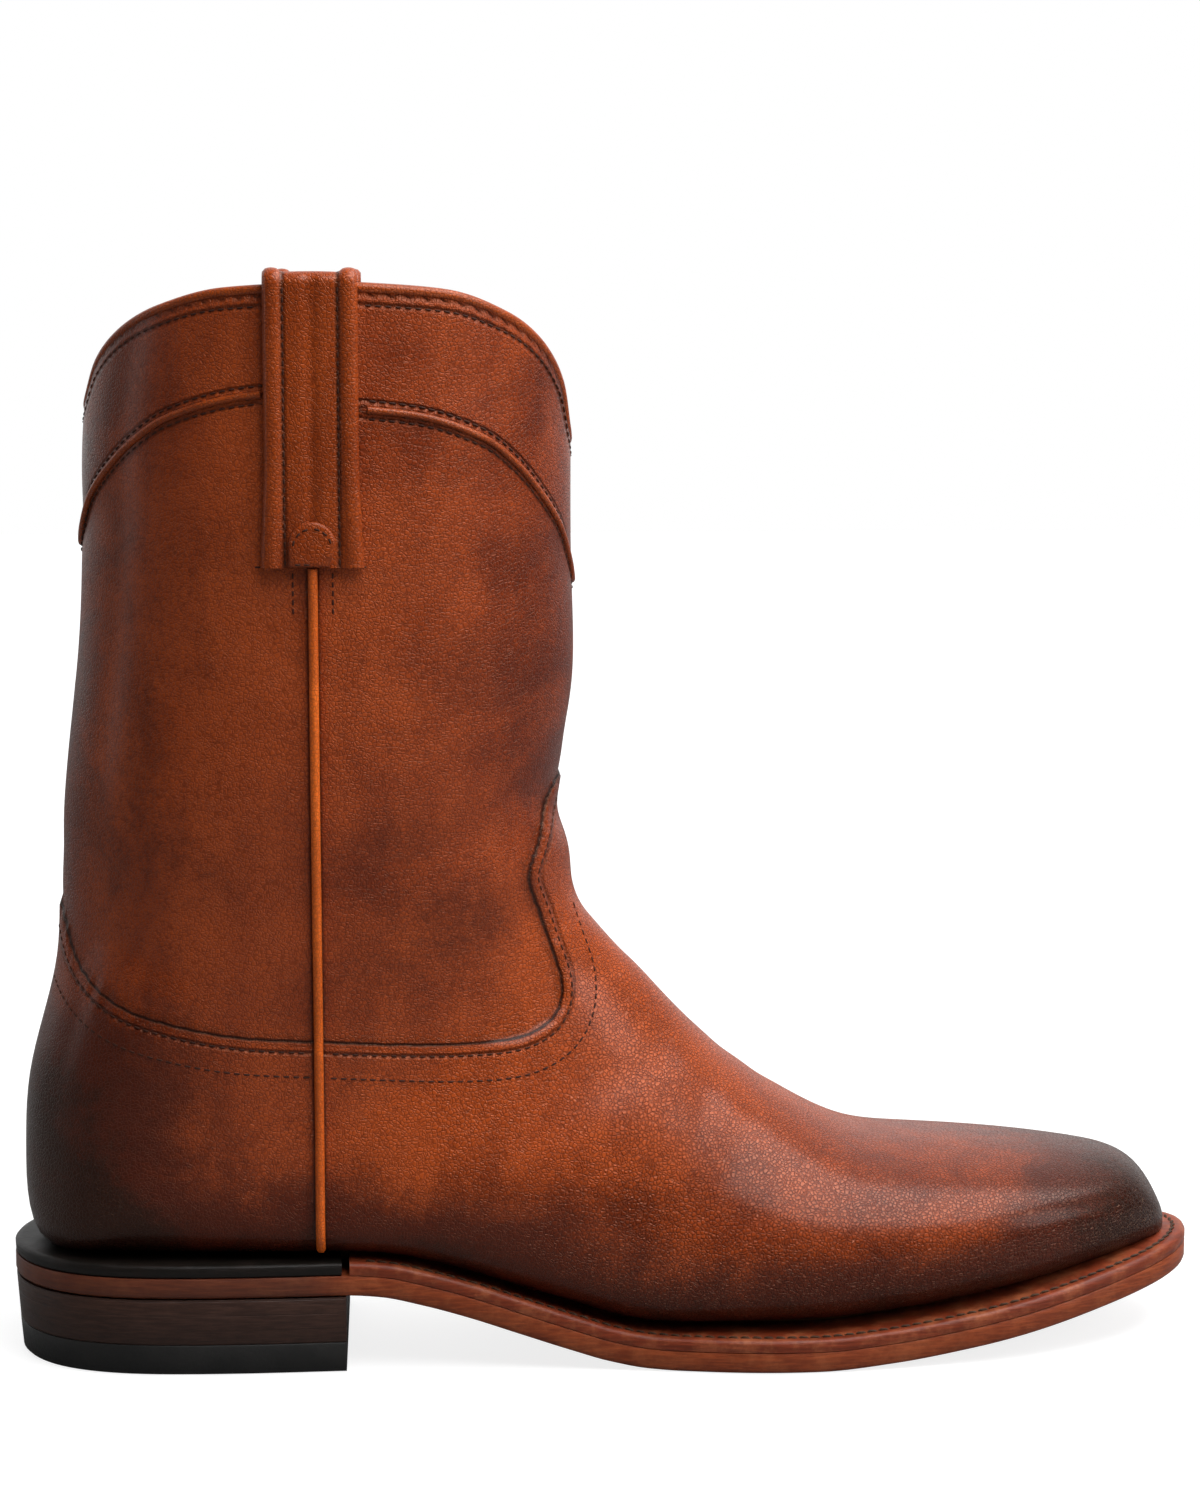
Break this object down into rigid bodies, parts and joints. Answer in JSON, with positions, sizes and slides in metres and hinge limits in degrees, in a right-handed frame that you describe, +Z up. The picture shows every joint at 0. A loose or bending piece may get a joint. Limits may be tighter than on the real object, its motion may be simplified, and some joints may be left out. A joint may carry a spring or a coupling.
{
  "type": "roper boot",
  "caption": "Right pull-on roper boot in tan leather with a scalloped collar, pull straps, side piping, welted leather sole and low stacked heel.",
  "frame": {"origin": "middle of the heel's resting face, on the floor", "axes": "+X towards the toe, +Y towards the inner side of the foot, +Z up"},
  "size_m": [0.3125, 0.1105, 0.2804],
  "materials": {
    "upper_leather": "satin",
    "piping_leather": "satin",
    "insole_leather": "matt",
    "welt_leather": "waxed",
    "rand_leather": "waxed",
    "sole_leather": "waxed",
    "stacked_leather": "waxed",
    "heel_rubber": "matt"
  },
  "bodies": {
    "root": {"upper": "upper_leather", "insole": "insole_leather", "welt": "welt_leather", "heel_rand": "rand_leather", "outsole": "sole_leather", "heel_stack": "stacked_leather", "heel_cap": "heel_rubber", "collar_binding": "upper_leather", "yoke_piping_front": "upper_leather", "yoke_piping_back": "upper_leather", "side_piping_outer": "piping_leather", "side_piping_inner": "piping_leather", "pull_strap_outer": "upper_leather", "pull_strap_inner": "upper_leather", "strap_tab_outer": "upper_leather", "strap_tab_inner": "upper_leather"}
  },
  "joints": []
}
